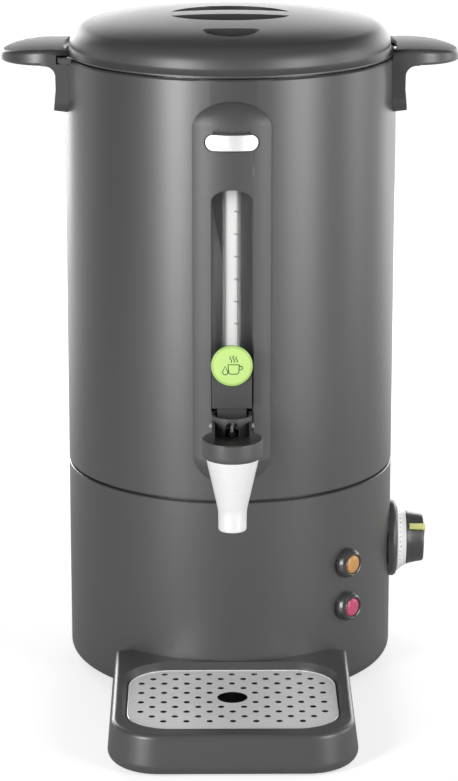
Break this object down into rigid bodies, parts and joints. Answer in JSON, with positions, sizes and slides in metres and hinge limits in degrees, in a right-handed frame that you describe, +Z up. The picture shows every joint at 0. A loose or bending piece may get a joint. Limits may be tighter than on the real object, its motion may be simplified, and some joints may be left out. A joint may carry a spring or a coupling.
{
  "type": "hot water urn",
  "caption": "Electric hot water urn with a lift-off lid, side handles, level tube, press tap, thermostat knob and a drip tray with a perforated grille.",
  "frame": {"origin": "on the urn's own axis, in the plane of the surface that it stands on", "axes": "+Z up along the urn's axis, -Y towards the front with the tap and drip tray, +X towards the right-hand side with the thermostat knob"},
  "size_m": [0.304, 0.359, 0.4445],
  "materials": {
    "body_paint": "matte dark grey powder coat",
    "panel_plastic": "satin dark grey moulding",
    "black_plastic": "satin black moulding",
    "stainless": "brushed stainless steel",
    "plated_steel": "zinc plated",
    "bright_trim": "bright plated",
    "cast_aluminium": "as cast",
    "silicone": "translucent grey silicone",
    "black_rubber": "matte",
    "white_plastic": "satin white",
    "cream_plastic": "cream thermoset",
    "green_plastic": "bright lime green",
    "amber_lens": "tinted lens",
    "red_lens": "tinted lens",
    "clear_tube": "clear"
  },
  "bodies": {
    "urn": {"outer_shell": "body_paint", "base_housing": "body_paint", "base_plate": "plated_steel", "base_screws": "plated_steel", "feet": "black_rubber", "inner_vessel": "stainless", "heating_plate": "cast_aluminium", "heating_element": "plated_steel", "thermal_cutout": "cream_plastic", "terminal_block": "cream_plastic", "cable_gland": "black_plastic", "front_panel": "panel_plastic", "badge_plate": "bright_trim", "sight_tube": "clear_tube", "tube_seals": "silicone", "level_scale": "white_plastic", "tap_body": "black_plastic", "spout": "stainless", "tap_inlet": "stainless", "inlet_nut": "stainless", "inlet_gaskets": "silicone", "pivot_pin": "stainless", "lever_spring": "stainless", "left_handle": "black_plastic", "right_handle": "black_plastic", "handle_screws": "plated_steel", "knob_flange": "black_plastic", "dial_ring": "white_plastic", "thermostat": "cream_plastic", "lamp_bezels": "bright_trim", "lens_amber": "amber_lens", "lens_red": "red_lens", "lamp_nuts": "plated_steel"},
    "tap_lever": {"lever": "black_plastic", "lever_button": "green_plastic"},
    "valve": {"valve_stem": "bright_trim", "valve_plug": "black_rubber"},
    "lid_ring": {"lid_seal": "black_rubber"},
    "lid": {"lid_shell": "black_plastic", "lid_liner": "black_plastic", "vent_insert": "black_plastic", "lid_screws": "stainless"},
    "dial": {"knob": "black_plastic", "knob_pointer": "green_plastic", "thermostat_shaft": "plated_steel"},
    "tray": {"drip_tray": "black_plastic", "tray_pads": "black_rubber"},
    "tray_grille": {"grille": "stainless"}
  },
  "joints": [
    {"name": "lever_press", "type": "hinge", "parent": "urn", "child": "tap_lever", "pos_m": [0, -0.1189, 0.195], "axis": [-1, 0, 0], "range_deg": [0, 6], "stiffness_Nm_per_rad": 0.4},
    {"name": "valve_lift", "type": "slide", "parent": "urn", "child": "valve", "axis": [0, 0, 1], "range_m": [0, 0.001]},
    {"name": "lid_lift", "type": "slide", "parent": "urn", "child": "lid_ring", "axis": [0, 0, 1], "range_m": [0, 0.12]},
    {"name": "lid_twist", "type": "hinge", "parent": "lid_ring", "child": "lid", "pos_m": [0, 0, 0.42], "axis": [0, 0, -1], "range_deg": [0, 14]},
    {"name": "knob_turn", "type": "hinge", "parent": "urn", "child": "dial", "pos_m": [0.12, 0, 0.08], "axis": [-1, 0, 0], "range_deg": [-101.5, 198.5]},
    {"name": "tray_slide", "type": "slide", "parent": "urn", "child": "tray", "axis": [0, -1, 0], "range_m": [0, 0.12]},
    {"name": "grille_lift", "type": "slide", "parent": "tray", "child": "tray_grille", "axis": [0, 0, 1], "range_m": [0, 0.06]}
  ],
  "couplings": [
    {"joint": "valve_lift", "follows": "lever_press", "m_per_rad": 0.0085}
  ]
}
